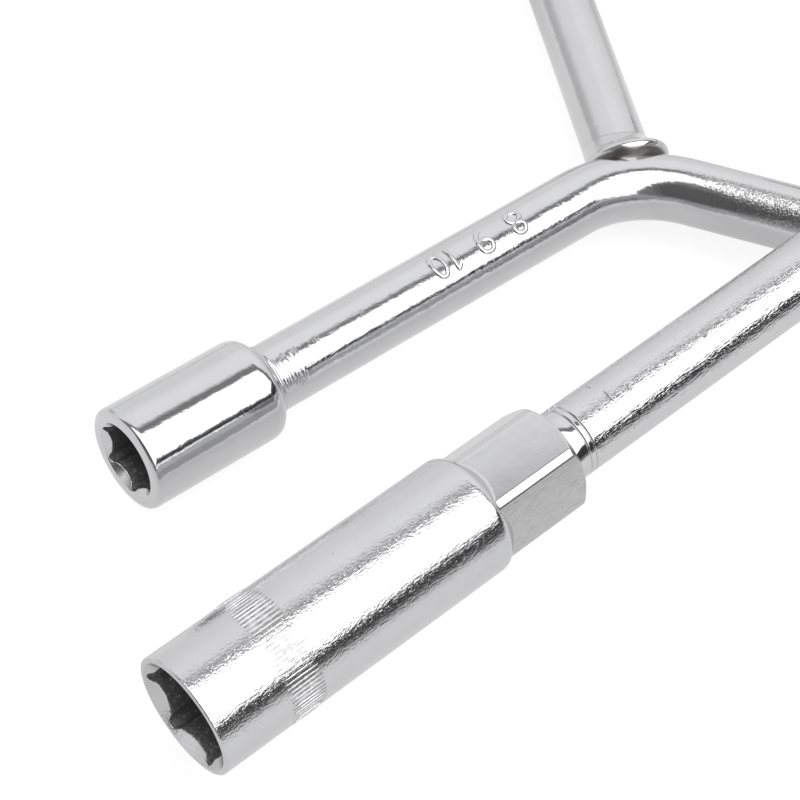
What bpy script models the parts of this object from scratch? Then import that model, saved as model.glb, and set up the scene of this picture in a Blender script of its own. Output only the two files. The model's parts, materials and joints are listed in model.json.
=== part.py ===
"""A three-arm Y socket wrench lying flat, with a spark plug wrench laid across one of its arms.

Metres, +Z up. The Y wrench is a bent rod with a third rod welded to the outside of its bend
and a hex socket brazed on each end. The plug wrench is a long thin-walled socket with a hex
shank, on a rod with a welded cross handle. Both rest on the floor, as two loose tools do.
"""
import math

import bmesh
import bpy
import numpy as np
from mathutils import Matrix, Vector

# Fits and clearances
GAP = 0.0003                     # between two pieces that touch
OVERRUN = 0.002                  # how far a cut runs past the surface it opens

# Y wrench: rods
ARM_ROD_DIAMETER = 0.0110
ARM_REACH = 0.1015               # crossing point of the arm axes to each socket's mouth
BEND_RADIUS = 0.0200             # centre line of the bent rod
SPIGOT_DIAMETER = 0.0080         # turned end of a rod inside its socket
SPIGOT_LENGTH = 0.0080
ANGLE_10MM_ARM = math.radians(180)
ANGLE_9MM_ARM = math.radians(300)
ANGLE_8MM_ARM = math.radians(60)

# Y wrench: sockets
SOCKET_LENGTH = 0.0245
SOCKET_NOSE_ROUND = 0.0012
HEX_DEPTH = 0.0100
PILOT_EXTRA_DEPTH = 0.0025       # drilled hole past the end of the broached hex
FLATS_10MM = 0.0102
FLATS_9MM = 0.0092
FLATS_8MM = 0.0082
OUTER_DIAMETER_10MM = 0.0166
OUTER_DIAMETER_9MM = 0.0152
OUTER_DIAMETER_8MM = 0.0140
SOCKET_HEX_ROLL = math.radians(20)
TAIL_ROUND_SHARE = 0.85          # of the step from the rod up to the socket
PILOT_DIAMETER_SHARE = 0.94      # of the hex across flats
LEAD_IN_SHARE = 1.05             # mouth chamfer diameter, of the hex across corners
LOBE_RADIUS_SHARE = 0.085        # relieved hex corner, of the hex across flats
LOBE_STAND_SHARE = 0.012         # how far the relief passes the true corner
DRILL_TIP_SHARE = 0.3            # cone height, of the drill's diameter

# Braze fillet where a rod leaves its socket
BRAZE_LEG = 0.0013
BRAZE_THROAT = 0.0009
BRAZE_WAIST_SHARE = 0.35         # of the throat, left at the thin end

# Weld round the foot of a rod that stands on another: a flank down the rod, then a rounded rim
WELD_FLANK = 0.0038
WELD_RIM = 0.0031
WELD_FOOT = 0.0006               # the rim's end, above the axis of the rod that carries it
WELD_SADDLE = 0.0023             # how much higher it stands at the sides, where the rod below is nearest
WELD_LIP = 0.0003
WELD_STAND = 0.0016              # its height over the third arm
WELD_HEAVY_SIDE = 0.0010
FLANK_WAIST_SHARE = 0.36         # of the height, half way down the flank
WELD_CORE_SHARE = 0.5            # of the rod, where the ends close before the rod's hole is cut

# Plug wrench: socket and hex shank, one forging
PLUG_FLATS = 0.0142
PLUG_OUTER_DIAMETER = 0.0188
PLUG_ROUND_LENGTH = 0.0508       # full diameter, from the mouth
PLUG_SHOULDER_LENGTH = 0.0022
PLUG_SHANK_LENGTH = 0.0138
PLUG_NOSE_ROUND = 0.0005
PLUG_HEX_DEPTH = 0.0200          # broached hex that grips the plug
PLUG_BORE_DIAMETER = 0.0138      # round clearance bore for the insulator
PLUG_BORE_DEPTH = 0.0440
PLUG_HEX_ROLL = math.radians(0)
SHANK_FLATS = 0.0160
SHANK_CORNER_DIAMETER = 0.0178   # hex corners turned off to this
SHANK_END_CHAMFER = 0.0011
SHANK_ROLL = math.radians(9)
SHANK_BORE_DEPTH = 0.0120        # for the rod's end

# Plug wrench: rod and cross handle
PLUG_ROD_DIAMETER = 0.0113
PLUG_SPIGOT_DIAMETER = 0.0090
PLUG_LENGTH = 0.2100             # mouth to the axis of the cross handle
GROOVE_DEPTH = 0.0003
GROOVE_WIDTH = 0.0004
WIDE_BAND = 0.0024               # shank to the first groove
NARROW_BAND = 0.0008             # between the two grooves
HANDLE_DIAMETER = 0.0110
HANDLE_LENGTH = 0.1400
HANDLE_END_ROUND = 0.0015
HANDLE_WELD_STAND = 0.0016

# Where the plug wrench lies, seen from above
PLUG_MOUTH_AHEAD = 0.0210        # its mouth past the 10 mm socket's mouth
PLUG_MOUTH_ASIDE = 0.0422        # its mouth beside the 10 mm arm's axis
PLUG_HEADING = math.radians(0.8)
STEEPEST_LAY = math.radians(20)  # steeper than the rod can ever lie on the arm

# Faces: sides of a round piece and steps of a curve
ROD_SIDES = 28
SOCKET_SIDES = 40
BEND_STEPS = 12
ROUND_STEPS = 4
LOBE_STEPS = 4
WELD_STEPS = 5
HALVINGS = 40

HEX_CORNERS = 6
HALF_CORNER = math.radians(30)
SHARP_EDGE = math.radians(35)


def clear_scene():
    for item in list(bpy.data.objects):
        bpy.data.objects.remove(item, do_unlink=True)


def chrome(name, roughness):
    material = bpy.data.materials.new(name)
    material.use_nodes = True
    shader = material.node_tree.nodes["Principled BSDF"]
    shader.inputs["Base Color"].default_value = (0.60, 0.60, 0.61, 1.0)
    shader.inputs["Metallic"].default_value = 1.0
    shader.inputs["Roughness"].default_value = roughness
    return material


# Shapes: each returns a bmesh of one closed body

def ring_solid(rings):
    """Closed body from rings of equal length; the first and last ring are capped."""
    mesh = bmesh.new()
    verts = [[mesh.verts.new(point) for point in ring] for ring in rings]
    count = len(verts[0])
    for near, far in zip(verts, verts[1:]):
        for i in range(count):
            j = (i + 1) % count
            mesh.faces.new((near[i], near[j], far[j], far[i]))
    mesh.faces.new(list(reversed(verts[0])))
    mesh.faces.new(verts[-1])
    bmesh.ops.recalc_face_normals(mesh, faces=mesh.faces)
    return mesh


def circle(x, radius, sides):
    turn = 2 * math.pi / sides
    return [Vector((x, radius * math.cos(i * turn), radius * math.sin(i * turn))) for i in range(sides)]


def lathe(profile, sides):
    """Body turned about X from (x, radius) points; both ends are flat faces."""
    return ring_solid([circle(x, radius, sides) for x, radius in profile])


def prism(outline, x_start, x_end):
    return ring_solid([[Vector((x, y, z)) for y, z in outline] for x in (x_start, x_end)])


def quarter_round(size, radius):
    """Convex corner from an end face out to the side, as (x from the face, radius) points."""
    turns = [math.pi / 2 * step / ROUND_STEPS for step in range(ROUND_STEPS + 1)]
    return [(size * (1 - math.cos(turn)), radius - size * (1 - math.sin(turn))) for turn in turns]


def turned_outline(length, radius, front_round, back_round):
    """Outline of a turned body with a quarter round at each end, from x 0."""
    front = quarter_round(front_round, radius)
    back = [(length - x, r) for x, r in reversed(quarter_round(back_round, radius))]
    return front + back


def hex_outline(flats, roll):
    """Hexagon with relieved round corners, as (y, z) points."""
    lobe = LOBE_RADIUS_SHARE * flats
    stand = LOBE_STAND_SHARE * flats
    centre = flats / 2 / math.cos(HALF_CORNER) + stand - lobe
    half_arc = HALF_CORNER + math.acos(math.cos(HALF_CORNER) * (lobe - stand) / lobe)
    points = []
    for corner in range(HEX_CORNERS):
        facing = roll + corner * 2 * math.pi / HEX_CORNERS
        for step in range(LOBE_STEPS + 1):
            turn = facing + half_arc * (2 * step / LOBE_STEPS - 1)
            y = centre * math.cos(facing) + lobe * math.cos(turn)
            z = centre * math.sin(facing) + lobe * math.sin(turn)
            points.append((y, z))
    return points


# Objects

def add_object(name, mesh, parent, place=Matrix.Identity(4)):
    data = bpy.data.meshes.new(name)
    mesh.to_mesh(data)
    mesh.free()
    item = bpy.data.objects.new(name, data)
    bpy.context.scene.collection.objects.link(item)
    item.parent = parent
    item.matrix_local = place
    return item


def add_piece(name, mesh, parent, place, roughness):
    piece = add_object(name, mesh, parent, place)
    piece.data.materials.append(chrome(name + "_chrome", roughness))
    piece.data.shade_smooth()
    piece.data.set_sharp_from_angle(angle=SHARP_EDGE)
    return piece


def combine(piece, tool_name, mesh, operation, place):
    """Boolean with a hidden tool body that shares the piece's parent."""
    tool = add_object(piece.name + "_" + tool_name, mesh, piece.parent, place)
    tool.hide_render = True
    tool.display_type = "WIRE"
    modifier = piece.modifiers.new(tool_name, "BOOLEAN")
    modifier.operation = operation
    modifier.object = tool
    modifier.solver = "EXACT"


def add_empty(name, place):
    empty = bpy.data.objects.new(name, None)
    bpy.context.scene.collection.objects.link(empty)
    empty.matrix_world = place
    return empty


# Y wrench

SOCKETS = (
    ("10mm", ANGLE_10MM_ARM, FLATS_10MM, OUTER_DIAMETER_10MM),
    ("9mm", ANGLE_9MM_ARM, FLATS_9MM, OUTER_DIAMETER_9MM),
    ("8mm", ANGLE_8MM_ARM, FLATS_8MM, OUTER_DIAMETER_8MM),
)
SHOULDER_REACH = ARM_REACH - SOCKET_LENGTH       # crossing point to a socket's tail face
BEND_HALF_TURN = (math.pi - (ANGLE_9MM_ARM - ANGLE_10MM_ARM)) / 2
BEND_SETBACK = BEND_RADIUS * math.tan(BEND_HALF_TURN)            # straight run given up on each side
BEND_CUT_IN = BEND_RADIUS / math.cos(BEND_HALF_TURN) - BEND_RADIUS


def flat_direction(angle):
    return Vector((math.cos(angle), math.sin(angle), 0.0))


def arm_place(angle, reach):
    """Frame at a distance along an arm, with X pointing back to the crossing point."""
    back = Matrix.Rotation(angle + math.pi, 4, "Z")
    return Matrix.Translation(flat_direction(angle) * reach) @ back


def bent_path():
    """Centre line of the bent rod: 10 mm end, bend, 9 mm end, as (point, direction)."""
    first, last = flat_direction(ANGLE_10MM_ARM), flat_direction(ANGLE_9MM_ARM)
    towards = (first + last).normalized()
    centre = towards * (BEND_RADIUS / math.cos(BEND_HALF_TURN))
    path = [(first * SHOULDER_REACH, -first)]
    for step in range(BEND_STEPS + 1):
        turn = BEND_HALF_TURN * (2 * step / BEND_STEPS - 1)
        outward = Matrix.Rotation(-turn, 3, "Z") @ (-towards)
        along = Matrix.Rotation(math.radians(-90), 3, "Z") @ outward
        path.append((centre + outward * BEND_RADIUS, along))
    path.append((last * SHOULDER_REACH, last))
    return path


def bent_rod(radius, spigot_radius, spigot_length):
    """Rod swept along the bent path, with a thinner spigot on each end."""
    path = bent_path()
    start, start_along = path[0]
    end, end_along = path[-1]
    stations = [(point, along, radius) for point, along in path]
    if spigot_length > 0:
        stations.insert(0, (start, start_along, spigot_radius))
        stations.insert(0, (start - start_along * spigot_length, start_along, spigot_radius))
        stations.append((end, end_along, spigot_radius))
        stations.append((end + end_along * spigot_length, end_along, spigot_radius))
    rings = []
    for point, along, size in stations:
        side = Vector((-along.y, along.x, 0.0))
        offsets = circle(0.0, size, ROD_SIDES)
        rings.append([point + side * offset.y + Vector((0, 0, offset.z)) for offset in offsets])
    return ring_solid(rings)


def tail_round(outer_diameter):
    return TAIL_ROUND_SHARE * (outer_diameter - ARM_ROD_DIAMETER) / 2


def lead_in_cutter(flats):
    """Cone that opens the mouth to just past the hex corners, at 45 degrees."""
    mouth = LEAD_IN_SHARE * flats / 2 / math.cos(HALF_CORNER)
    return lathe([(-OVERRUN, mouth + OVERRUN), (mouth - GAP, GAP)], SOCKET_SIDES)


def drill_cutter(x_start, x_end, diameter, tip_way):
    """Drilled hole with its cone at the far end."""
    tip = tip_way * DRILL_TIP_SHARE * diameter
    return lathe([(x_start, diameter / 2), (x_end, diameter / 2), (x_end + tip, GAP)], SOCKET_SIDES)


def build_socket(size, angle, flats, outer_diameter, parent):
    place = arm_place(angle, ARM_REACH)
    outline = turned_outline(SOCKET_LENGTH, outer_diameter / 2, SOCKET_NOSE_ROUND, tail_round(outer_diameter))
    socket = add_piece("socket_" + size, lathe(outline, SOCKET_SIDES), parent, place, 0.10)
    hexagon = hex_outline(flats, SOCKET_HEX_ROLL)
    combine(socket, "broach", prism(hexagon, -OVERRUN, HEX_DEPTH), "DIFFERENCE", place)
    combine(socket, "lead_in", lead_in_cutter(flats), "DIFFERENCE", place)
    pilot = drill_cutter(-OVERRUN, HEX_DEPTH + PILOT_EXTRA_DEPTH, PILOT_DIAMETER_SHARE * flats, 1)
    combine(socket, "pilot", pilot, "DIFFERENCE", place)
    seat = SOCKET_LENGTH - SPIGOT_LENGTH - GAP
    bore = lathe([(seat, SPIGOT_DIAMETER / 2 + GAP), (SOCKET_LENGTH + OVERRUN, SPIGOT_DIAMETER / 2 + GAP)], ROD_SIDES)
    combine(socket, "tail_bore", bore, "DIFFERENCE", place)
    build_braze(size, angle, parent)


def build_braze(size, angle, parent):
    """Fillet of filler metal between the socket's tail and the rod."""
    inner = ARM_ROD_DIAMETER / 2 + GAP
    outer = ARM_ROD_DIAMETER / 2 + BRAZE_THROAT
    waist = inner + BRAZE_WAIST_SHARE * (outer - inner)
    profile = [(GAP, outer), (GAP + BRAZE_LEG / 3, (waist + outer) / 2), (BRAZE_LEG, waist)]
    place = arm_place(angle, SHOULDER_REACH)
    ring = add_piece("braze_ring_" + size, lathe(profile, SOCKET_SIDES), parent, place, 0.18)
    core = lathe([(-OVERRUN, inner), (BRAZE_LEG + OVERRUN, inner)], ROD_SIDES)
    combine(ring, "rod_hole", core, "DIFFERENCE", place)


def weld_body(front, stand, heavy_side, rod_radius):
    """Bead round a rod that stands on another, whose axis is at front: X runs up the rod."""
    foot = front + WELD_FOOT
    profile = [(foot + WELD_RIM + WELD_FLANK, 0.0), (foot + WELD_RIM + WELD_FLANK / 2, FLANK_WAIST_SHARE)]
    for step in range(WELD_STEPS + 1):
        turn = math.pi / 2 * step / WELD_STEPS
        profile.append((foot + WELD_RIM * (1 - math.sin(turn)), math.cos(turn)))
    lip = GAP + WELD_LIP
    rings = [circle(profile[0][0] + WELD_SADDLE, rod_radius * WELD_CORE_SHARE, ROD_SIDES)]
    for x, fullness in profile:
        ring = []
        for i in range(ROD_SIDES):
            around = 2 * math.pi * i / ROD_SIDES
            lean = math.cos(around)
            radius = rod_radius + lip + (stand + heavy_side * lean - lip) * fullness
            across = Vector((0.0, radius * math.cos(around), radius * math.sin(around)))
            ring.append(across + Vector((x + WELD_SADDLE * lean ** 2, 0.0, 0.0)))
        rings.append(ring)
    rings.append(circle(foot, rod_radius * WELD_CORE_SHARE, ROD_SIDES))
    return ring_solid(rings)


def weld_top(front):
    return front + WELD_FOOT + WELD_RIM + WELD_FLANK + WELD_SADDLE


def build_third_arm(parent):
    radius = ARM_ROD_DIAMETER / 2
    place = Matrix.Rotation(ANGLE_8MM_ARM, 4, "Z")
    profile = [(0.0, radius), (SHOULDER_REACH, radius), (SHOULDER_REACH, SPIGOT_DIAMETER / 2),
               (SHOULDER_REACH + SPIGOT_LENGTH, SPIGOT_DIAMETER / 2)]
    arm = add_piece("third_arm", lathe(profile, ROD_SIDES), parent, place, 0.12)
    combine(arm, "cope", bent_rod(radius + GAP, 0.0, 0.0), "DIFFERENCE", Matrix.Identity(4))


def build_junction_weld(parent):
    """Bead round the third arm's foot; its frame is turned over so the heavy side faces the 9 mm arm."""
    radius = ARM_ROD_DIAMETER / 2
    place = Matrix.Rotation(ANGLE_8MM_ARM, 4, "Z") @ Matrix.Rotation(math.pi, 4, "X")
    body = weld_body(-BEND_CUT_IN, WELD_STAND, WELD_HEAVY_SIDE, radius)
    weld = add_piece("junction_weld", body, parent, place, 0.15)
    combine(weld, "bar_seat", bent_rod(radius + GAP, 0.0, 0.0), "DIFFERENCE", Matrix.Identity(4))
    longest = weld_top(-BEND_CUT_IN) + OVERRUN
    core = lathe([(-radius - BEND_CUT_IN, radius + GAP), (longest, radius + GAP)], ROD_SIDES)
    combine(weld, "arm_hole", core, "DIFFERENCE", place)


def build_y_wrench(parent):
    spigot = SPIGOT_DIAMETER / 2
    rod = bent_rod(ARM_ROD_DIAMETER / 2, spigot, SPIGOT_LENGTH)
    add_piece("bent_bar", rod, parent, Matrix.Identity(4), 0.12)
    build_third_arm(parent)
    build_junction_weld(parent)
    for size, angle, flats, outer_diameter in SOCKETS:
        build_socket(size, angle, flats, outer_diameter, parent)


def y_wrench_rest():
    """Pose in which all three sockets touch the floor, each at its low end."""
    radii = [outer / 2 for _, _, _, outer in SOCKETS]
    touches = [ARM_REACH - SOCKET_LENGTH / 2] * len(SOCKETS)
    for _ in range(2):
        rows = []
        for (_, angle, _, _), reach in zip(SOCKETS, touches):
            spot = flat_direction(angle) * reach
            rows.append((1.0, spot.x, spot.y))
        height, slope_x, slope_y = np.linalg.solve(np.array(rows), np.array(radii))
        touches = []
        for _, angle, _, outer in SOCKETS:
            out = flat_direction(angle)
            climbs = slope_x * out.x + slope_y * out.y > 0
            touches.append(SHOULDER_REACH + tail_round(outer) if climbs else ARM_REACH - SOCKET_NOSE_ROUND)
    up = Vector((-slope_x, -slope_y, 1.0)).normalized()
    ahead = Vector((1.0, 0.0, slope_x)).normalized()
    side = up.cross(ahead)
    turn = Matrix((ahead, side, up)).transposed().to_4x4()
    return Matrix.Translation((0.0, 0.0, height)) @ turn


# Plug wrench: X runs from the mouth to the cross handle

PLUG_RADIUS = PLUG_OUTER_DIAMETER / 2
PLUG_BODY_LENGTH = PLUG_ROUND_LENGTH + PLUG_SHOULDER_LENGTH + PLUG_SHANK_LENGTH
SHANK_RADIUS = SHANK_FLATS / 2


def build_plug_socket(parent):
    """Long socket and hex shank, one piece: a turned body joined with a turned hexagon."""
    here = Matrix.Identity(4)
    waist = SHANK_RADIUS - GAP
    shoulder_end = PLUG_ROUND_LENGTH + PLUG_SHOULDER_LENGTH
    profile = quarter_round(PLUG_NOSE_ROUND, PLUG_RADIUS)
    profile += [(PLUG_ROUND_LENGTH, PLUG_RADIUS), (shoulder_end, waist), (shoulder_end + OVERRUN, waist)]
    socket = add_piece("plug_socket", lathe(profile, SOCKET_SIDES), parent, here, 0.12)
    corner = SHANK_CORNER_DIAMETER / 2
    root = PLUG_ROUND_LENGTH - OVERRUN
    turned = [(root, waist), (PLUG_ROUND_LENGTH, corner), (PLUG_BODY_LENGTH - SHANK_END_CHAMFER, corner),
              (PLUG_BODY_LENGTH, corner - SHANK_END_CHAMFER)]
    combine(socket, "shank", mill_flats(lathe(turned, SOCKET_SIDES)), "UNION", here)
    combine(socket, "broach", prism(hex_outline(PLUG_FLATS, PLUG_HEX_ROLL), -OVERRUN, PLUG_HEX_DEPTH),
            "DIFFERENCE", here)
    combine(socket, "lead_in", lead_in_cutter(PLUG_FLATS), "DIFFERENCE", here)
    combine(socket, "insulator_bore", drill_cutter(-OVERRUN, PLUG_BORE_DEPTH, PLUG_BORE_DIAMETER, 1),
            "DIFFERENCE", here)
    seat = PLUG_BODY_LENGTH - SHANK_BORE_DEPTH - GAP
    bore_radius = PLUG_SPIGOT_DIAMETER / 2 + GAP
    combine(socket, "rod_bore", lathe([(seat, bore_radius), (PLUG_BODY_LENGTH + OVERRUN, bore_radius)], ROD_SIDES),
            "DIFFERENCE", here)


def mill_flats(shank):
    """Cut six flats on the turned shank, closing each cut."""
    for corner in range(HEX_CORNERS):
        facing = SHANK_ROLL + HALF_CORNER + corner * 2 * math.pi / HEX_CORNERS
        normal = Vector((0.0, math.cos(facing), math.sin(facing)))
        cut = bmesh.ops.bisect_plane(shank, geom=shank.verts[:] + shank.edges[:] + shank.faces[:],
                                     plane_co=normal * SHANK_RADIUS, plane_no=normal, clear_outer=True)
        rim = [item for item in cut["geom_cut"] if isinstance(item, bmesh.types.BMEdge)]
        bmesh.ops.contextual_create(shank, geom=rim)
    bmesh.ops.recalc_face_normals(shank, faces=shank.faces)
    return shank


def build_plug_bar(parent):
    """Rod with a spigot in the shank, two turned grooves beside it and a coped end."""
    radius = PLUG_ROD_DIAMETER / 2
    floor = radius - GROOVE_DEPTH
    half = GROOVE_WIDTH / 2
    first = PLUG_BODY_LENGTH + GAP + WIDE_BAND
    second = first + GROOVE_WIDTH + NARROW_BAND
    profile = [(PLUG_BODY_LENGTH - SHANK_BORE_DEPTH, PLUG_SPIGOT_DIAMETER / 2),
               (PLUG_BODY_LENGTH + GAP, PLUG_SPIGOT_DIAMETER / 2), (PLUG_BODY_LENGTH + GAP, radius)]
    for groove in (first, second):
        profile += [(groove, radius), (groove + half, floor), (groove + GROOVE_WIDTH, radius)]
    profile.append((PLUG_LENGTH, radius))
    bar = add_piece("plug_bar", lathe(profile, ROD_SIDES), parent, Matrix.Identity(4), 0.12)
    reach = HANDLE_LENGTH / 2
    saddle = lathe([(-reach, HANDLE_DIAMETER / 2 + GAP), (reach, HANDLE_DIAMETER / 2 + GAP)], ROD_SIDES)
    combine(bar, "cope", saddle, "DIFFERENCE", handle_place())


def handle_place():
    """Frame of the cross handle, its X along the handle."""
    return Matrix.Translation((PLUG_LENGTH, 0.0, 0.0)) @ Matrix.Rotation(math.radians(90), 4, "Z")


def build_cross_handle(parent):
    outline = turned_outline(HANDLE_LENGTH, HANDLE_DIAMETER / 2, HANDLE_END_ROUND, HANDLE_END_ROUND)
    centred = [(x - HANDLE_LENGTH / 2, r) for x, r in outline]
    add_piece("cross_handle", lathe(centred, ROD_SIDES), parent, handle_place(), 0.12)


def build_handle_weld(parent):
    radius = PLUG_ROD_DIAMETER / 2
    place = Matrix.Translation((PLUG_LENGTH, 0.0, 0.0)) @ Matrix.Rotation(math.pi, 4, "Z")
    body = weld_body(0.0, HANDLE_WELD_STAND, 0.0, radius)
    weld = add_piece("handle_weld", body, parent, place, 0.15)
    reach = HANDLE_LENGTH / 2
    seat = lathe([(-reach, HANDLE_DIAMETER / 2 + GAP), (reach, HANDLE_DIAMETER / 2 + GAP)], ROD_SIDES)
    combine(weld, "handle_seat", seat, "DIFFERENCE", handle_place())
    core = lathe([(-radius, radius + GAP), (weld_top(0.0) + OVERRUN, radius + GAP)], ROD_SIDES)
    combine(weld, "bar_hole", core, "DIFFERENCE", place)


def build_plug_wrench(parent):
    build_plug_socket(parent)
    build_plug_bar(parent)
    build_cross_handle(parent)
    build_handle_weld(parent)


def plug_pose(pitch):
    """The socket's front edge on the floor, the rod climbing at this angle."""
    height = PLUG_RADIUS * math.cos(pitch) - PLUG_NOSE_ROUND * math.sin(pitch)
    spot = Vector((-ARM_REACH - PLUG_MOUTH_AHEAD, -PLUG_MOUTH_ASIDE, height))
    turn = Matrix.Rotation(PLUG_HEADING, 4, "Z") @ Matrix.Rotation(-pitch, 4, "Y")
    return Matrix.Translation(spot) @ turn


def plug_wrench_rest(y_pose):
    """Pose in which the plug rod lies on the 9 mm arm, found by halving the angle."""
    arm_along = y_pose.to_3x3() @ flat_direction(ANGLE_9MM_ARM)
    apart = (ARM_ROD_DIAMETER + PLUG_ROD_DIAMETER) / 2 + GAP
    low, high = 0.0, STEEPEST_LAY
    for _ in range(HALVINGS):
        pitch = (low + high) / 2
        pose = plug_pose(pitch)
        across = arm_along.cross(pose.to_3x3() @ Vector((1.0, 0.0, 0.0))).normalized()
        distance = abs(across.dot(pose.translation - y_pose.translation))
        above = across.dot(pose.translation - y_pose.translation) * across.z > 0
        if above and distance > apart:
            high = pitch
        else:
            low = pitch
    return plug_pose(high)


# Assembly

def centre_on_floor(tools):
    """Move both tools so that the box round them stands on the origin, centred."""
    bpy.context.view_layer.update()
    view = bpy.context.evaluated_depsgraph_get()
    corners = []
    for item in bpy.context.scene.objects:
        if item.type == "MESH" and not item.hide_render:
            shown = item.evaluated_get(view)
            corners += [shown.matrix_world @ vertex.co for vertex in shown.data.vertices]
    spread = np.array(corners)
    low, high = spread.min(axis=0), spread.max(axis=0)
    shift = Matrix.Translation((-(low[0] + high[0]) / 2, -(low[1] + high[1]) / 2, -low[2]))
    for tool in tools:
        tool.matrix_world = shift @ tool.matrix_world
    bpy.context.view_layer.update()


def main():
    clear_scene()
    y_pose = y_wrench_rest()
    y_wrench = add_empty("y_wrench_frame", y_pose)
    plug_wrench = add_empty("plug_wrench_frame", plug_wrench_rest(y_pose))
    build_y_wrench(y_wrench)
    build_plug_wrench(plug_wrench)
    centre_on_floor((y_wrench, plug_wrench))


main()
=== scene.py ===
"""Looks of the Y socket wrench and of the spark plug wrench that lies across one of its arms.

Metres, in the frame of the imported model. Every solid of the model is replaced by a finer piece of
about the same size: turned skins, rods drawn along their centre lines, and weld beads. Raised size
numbers, a knurled band and tool marks are added. All of it is chrome plate with the grain of such tools.
"""
import json
import math

import bmesh
import bpy
from mathutils import Matrix, Vector, noise


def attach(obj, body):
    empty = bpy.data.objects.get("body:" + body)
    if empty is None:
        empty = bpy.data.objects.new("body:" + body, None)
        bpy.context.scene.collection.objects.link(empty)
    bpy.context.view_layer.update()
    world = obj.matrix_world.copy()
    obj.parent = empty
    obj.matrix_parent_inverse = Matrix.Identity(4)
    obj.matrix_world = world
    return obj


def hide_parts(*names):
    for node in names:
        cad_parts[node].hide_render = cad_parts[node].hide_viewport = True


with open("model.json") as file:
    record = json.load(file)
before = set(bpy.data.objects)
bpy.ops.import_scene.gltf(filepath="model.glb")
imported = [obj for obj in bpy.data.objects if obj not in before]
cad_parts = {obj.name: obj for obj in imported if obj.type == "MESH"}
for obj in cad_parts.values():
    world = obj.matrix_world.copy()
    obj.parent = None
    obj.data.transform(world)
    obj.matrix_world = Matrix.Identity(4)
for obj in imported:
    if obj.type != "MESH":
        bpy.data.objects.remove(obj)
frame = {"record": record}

MM = 0.001
HERE = Matrix.Identity(4)
HALF_CORNER = math.radians(30)

# Y wrench
ROD_RADIUS = 5.5 * MM
ARM_REACH = 101.5 * MM
BEND_RADIUS = 20.0 * MM
BEND_CUT_IN = BEND_RADIUS / math.cos(HALF_CORNER) - BEND_RADIUS
SOCKET_LENGTH = 24.5 * MM
SHOULDER_REACH = ARM_REACH - SOCKET_LENGTH
SOCKET_NOSE_ROUND = 1.2 * MM
SOCKET_HEX_DEPTH = 10.0 * MM
SOCKET_PILOT_EXTRA = 2.5 * MM
SOCKET_HEX_ROLL = math.radians(20)
LEAD_IN_SHARE = 1.05             # mouth chamfer, of the hex across corners
PILOT_SHARE = 0.47               # pilot hole's radius, of the hex across flats
DRILL_POINT_SHARE = 0.3          # length of the pilot's cone, of its radius
SOCKET_TAIL_SHARE = 0.85         # rounding of its back edge, of its step down to the rod
SOCKET_MOUTH_ROUND = 0.1 * MM
SOCKET_LEAD_IN_ROUND = 0.14 * MM
SOCKET_OVERLAP = 0.3 * MM        # how far its skin closes inside the rod
SOCKET_BARE_DEPTH = SOCKET_HEX_DEPTH + 5.0 * MM
ROD_INTO_SOCKET = 3.0 * MM
BROACH_EDGE_ROUND = 0.05 * MM
BROACH_LOBE_SHARE = 0.085        # radius of a corner's relief, of the hex across flats
BROACH_LOBE_OUT_SHARE = 0.012    # how far the relief passes the corner, of the same
BROACH_TEARS = ((7, 0.06), (23, 0.04))   # frequency round the bore, and depth in mm
SOCKETS = {                      # arm angle in degrees, across flats, outside radius
    "10mm": (180, 10.2 * MM, 8.3 * MM),
    "9mm": (300, 9.2 * MM, 7.6 * MM),
    "8mm": (60, 8.2 * MM, 7.0 * MM),
}

# Plug wrench
PLUG_FLATS = 14.2 * MM
PLUG_RADIUS = 9.4 * MM
PLUG_ROUND_LENGTH = 50.8 * MM
PLUG_SHOULDER_SLOPE = 1.7 / 2.2
PLUG_BODY_LENGTH = 66.8 * MM
PLUG_NOSE_ROUND = 0.5 * MM
PLUG_HEX_DEPTH = 20.0 * MM
PLUG_BORE_RADIUS = 6.9 * MM
PLUG_BORE_DEPTH = 44.0 * MM
PLUG_BORE_POINT = 2.0 * MM
PLUG_BARE_DEPTH = PLUG_BORE_DEPTH + 3.0 * MM
PLUG_SHOULDER_ROUND = 0.7 * MM
PLUG_MOUTH_ROUND = 0.06 * MM
PLUG_LEAD_IN_ROUND = 0.12 * MM
PLUG_OVERLAP = 0.5 * MM          # how far its skin closes inside the bar
SHANK_FLATS = 16.0 * MM
SHANK_CORNER_RADIUS = 8.9 * MM
SHANK_END_CHAMFER = 1.1 * MM
SHANK_ROLL = math.radians(9)
SHANK_POLISH = 0.04 * MM         # how far its faces fall off towards the corners
SHANK_EDGE_ROUND = 0.15 * MM
SHANK_FOOT_ROUND = 0.3 * MM
SHANK_HOLLOW_DEPTH = 0.4 * MM    # of the ring-shaped hollow round the bar
SHANK_HOLLOW_FLOOR = 0.1 * MM    # distance of its floor from the bar
SHANK_HOLLOW_LIP = 0.45 * MM     # distance of its lip from the bar
SHANK_HOLLOW_ROUND = 0.1 * MM
PLUG_ROD_RADIUS = 5.65 * MM
PLUG_LENGTH = 210.0 * MM
GROOVE_DEPTH = 0.15 * MM
GROOVE_WIDTH = 0.4 * MM
GROOVE_EDGE_ROUND = 0.08 * MM
GROOVE_FLOOR_ROUND = 0.06 * MM
WIDE_BAND = 3.15 * MM            # shank to first groove, longer than in the model, as measured on the photo
NARROW_BAND = 0.65 * MM          # between the two grooves
BAND_SWELL = 0.05 * MM           # of the wide band, at its middle
BAND_ROUND = 1.2 * MM
BAR_NECK = 0.3 * MM              # how much less its radius is inside the shank
BAR_INTO_SHANK = 2.0 * MM
BAR_RINGS = range(72, 209, 4)    # places of its plain rings, in mm from the mouth
HANDLE_RADIUS = 5.5 * MM
HANDLE_LENGTH = 140.0 * MM
HANDLE_END_ROUND = 1.5 * MM

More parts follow.
